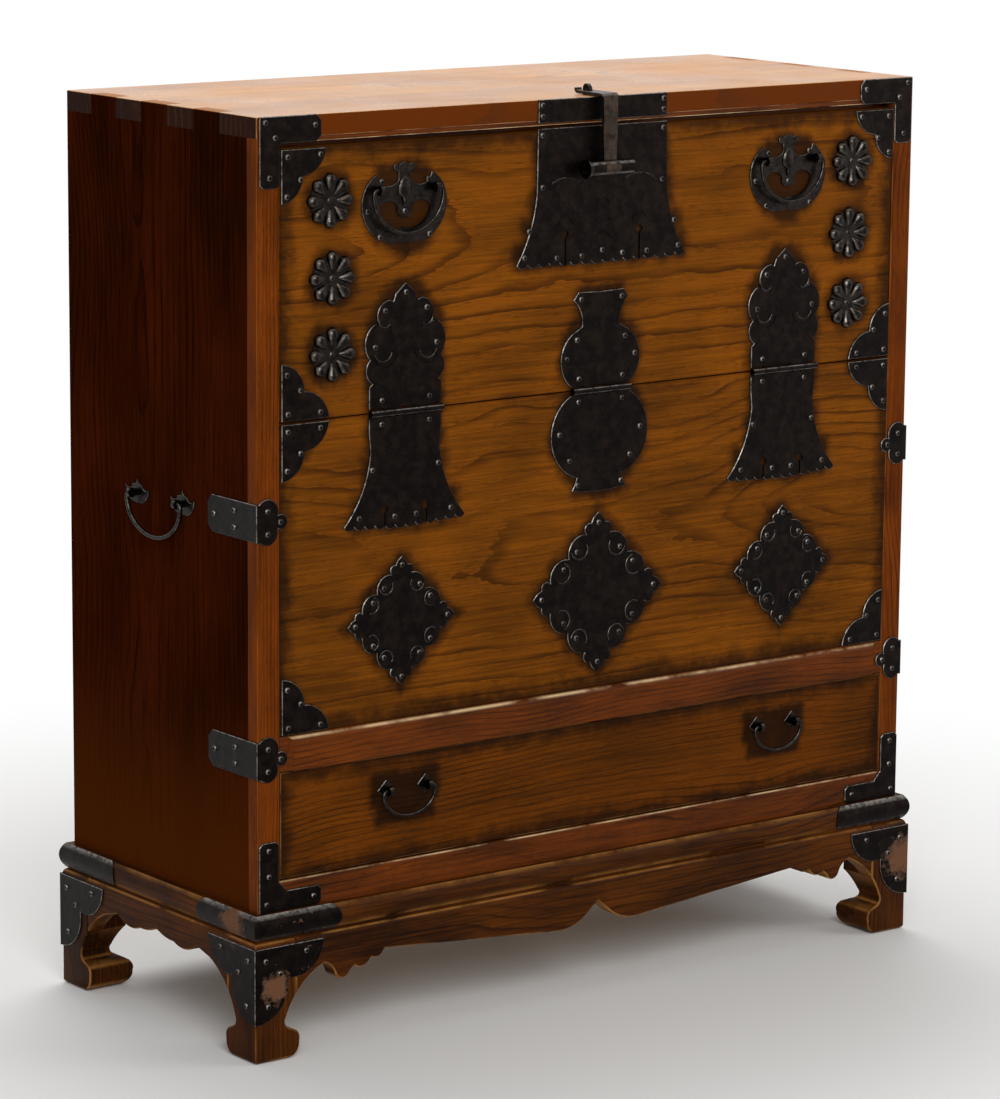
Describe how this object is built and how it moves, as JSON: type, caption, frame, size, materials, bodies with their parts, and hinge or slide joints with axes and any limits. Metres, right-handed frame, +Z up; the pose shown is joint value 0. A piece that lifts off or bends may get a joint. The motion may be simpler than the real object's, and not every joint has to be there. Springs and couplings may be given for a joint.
{
  "type": "korean bandaji chest",
  "caption": "Korean bandaji blanket chest of stained hardwood with black iron fittings: drop-front flap with a hasp, wide drawer, moulded stand on hoofed legs.",
  "frame": {"origin": "on the floor under the middle of the case", "axes": "+X to the chest's right as seen from the front, +Y to the back, +Z up"},
  "size_m": [0.9294, 0.4027, 1.0115],
  "materials": {
    "panel_wood": "satin",
    "frame_wood": "satin",
    "drawer_wood": "satin",
    "top_wood": "gloss",
    "side_wood": "satin",
    "stand_wood": "satin",
    "inner_wood": "matte",
    "iron": "satin",
    "worn_iron": "satin"
  },
  "bodies": {
    "case": {"apron_back": "stand_wood", "apron_front": "stand_wood", "apron_left": "stand_wood", "apron_right": "stand_wood", "back_panel": "side_wood", "bell_hinge_lower_leaves": "iron", "bottom_board": "inner_wood", "bottom_rail": "frame_wood", "case_nails": "iron", "compartment_floor": "inner_wood", "corner_irons": "iron", "diamond_plates": "iron", "drawer_runners": "inner_wood", "front_stile_left": "frame_wood", "front_stile_right": "frame_wood", "gourd_hinge_lower_leaf": "iron", "hinge_pins": "iron", "leg_back_left": "stand_wood", "leg_back_right": "stand_wood", "leg_front_left": "stand_wood", "leg_front_right": "stand_wood", "lock_eye": "iron", "lower_front_panel": "panel_wood", "lower_panel_corner_plates": "iron", "mid_rail": "frame_wood", "moulding_back": "stand_wood", "moulding_front": "stand_wood", "moulding_irons": "iron", "moulding_left": "stand_wood", "moulding_right": "stand_wood", "side_handle_mounts": "iron", "side_panel_left": "side_wood", "side_panel_right": "side_wood", "stand_irons": "iron", "top_board": "top_wood", "top_center_plate": "iron", "top_rail": "frame_wood", "wrap_straps": "iron"},
    "flap": {"flap_panel": "panel_wood", "flap_corner_plates": "iron", "rosettes": "iron", "flap_nails": "iron", "lock_plate": "iron", "hasp_pin": "worn_iron", "bell_hinge_upper_leaves": "iron", "gourd_hinge_upper_leaf": "iron", "flap_handle_plates": "iron"},
    "hasp": {"hasp": "worn_iron"},
    "drawer": {"drawer_front": "drawer_wood", "drawer_side_left": "inner_wood", "drawer_side_right": "inner_wood", "drawer_back": "inner_wood", "drawer_bottom": "inner_wood", "drawer_handle_mounts": "iron"},
    "flap_bail_left": {"flap_bail_left": "iron"},
    "flap_bail_right": {"flap_bail_right": "iron"},
    "drawer_bail_left": {"drawer_bail_left": "iron"},
    "drawer_bail_right": {"drawer_bail_right": "iron"},
    "side_bail_left": {"side_bail_left": "iron"},
    "side_bail_right": {"side_bail_right": "iron"}
  },
  "joints": [
    {"name": "flap_hinge", "type": "hinge", "parent": "case", "child": "flap", "pos_m": [0, -0.1865, 0.6815], "axis": [1, 0, 0], "range_deg": [0, 150]},
    {"name": "hasp_hinge", "type": "hinge", "parent": "flap", "child": "hasp", "pos_m": [0, -0.1955, 0.924], "axis": [1, 0, 0], "range_deg": [0, 165]},
    {"name": "drawer_slide", "type": "slide", "parent": "case", "child": "drawer", "axis": [0, -1, 0], "range_m": [0, 0.3]},
    {"name": "flap_bail_left_swing", "type": "hinge", "parent": "flap", "child": "flap_bail_left", "pos_m": [-0.264, -0.192, 0.917], "axis": [-1, 0, 0], "range_deg": [0, 100]},
    {"name": "flap_bail_right_swing", "type": "hinge", "parent": "flap", "child": "flap_bail_right", "pos_m": [0.264, -0.192, 0.917], "axis": [-1, 0, 0], "range_deg": [0, 100]},
    {"name": "drawer_bail_left_swing", "type": "hinge", "parent": "drawer", "child": "drawer_bail_left", "pos_m": [-0.2595, -0.1915, 0.273], "axis": [-1, 0, 0], "range_deg": [0, 100]},
    {"name": "drawer_bail_right_swing", "type": "hinge", "parent": "drawer", "child": "drawer_bail_right", "pos_m": [0.2595, -0.1915, 0.273], "axis": [-1, 0, 0], "range_deg": [0, 100]},
    {"name": "side_bail_left_swing", "type": "hinge", "parent": "case", "child": "side_bail_left", "pos_m": [-0.4595, 0, 0.58], "axis": [0, 1, 0], "range_deg": [0, 100]},
    {"name": "side_bail_right_swing", "type": "hinge", "parent": "case", "child": "side_bail_right", "pos_m": [0.4595, 0, 0.58], "axis": [0, -1, 0], "range_deg": [0, 100]}
  ]
}
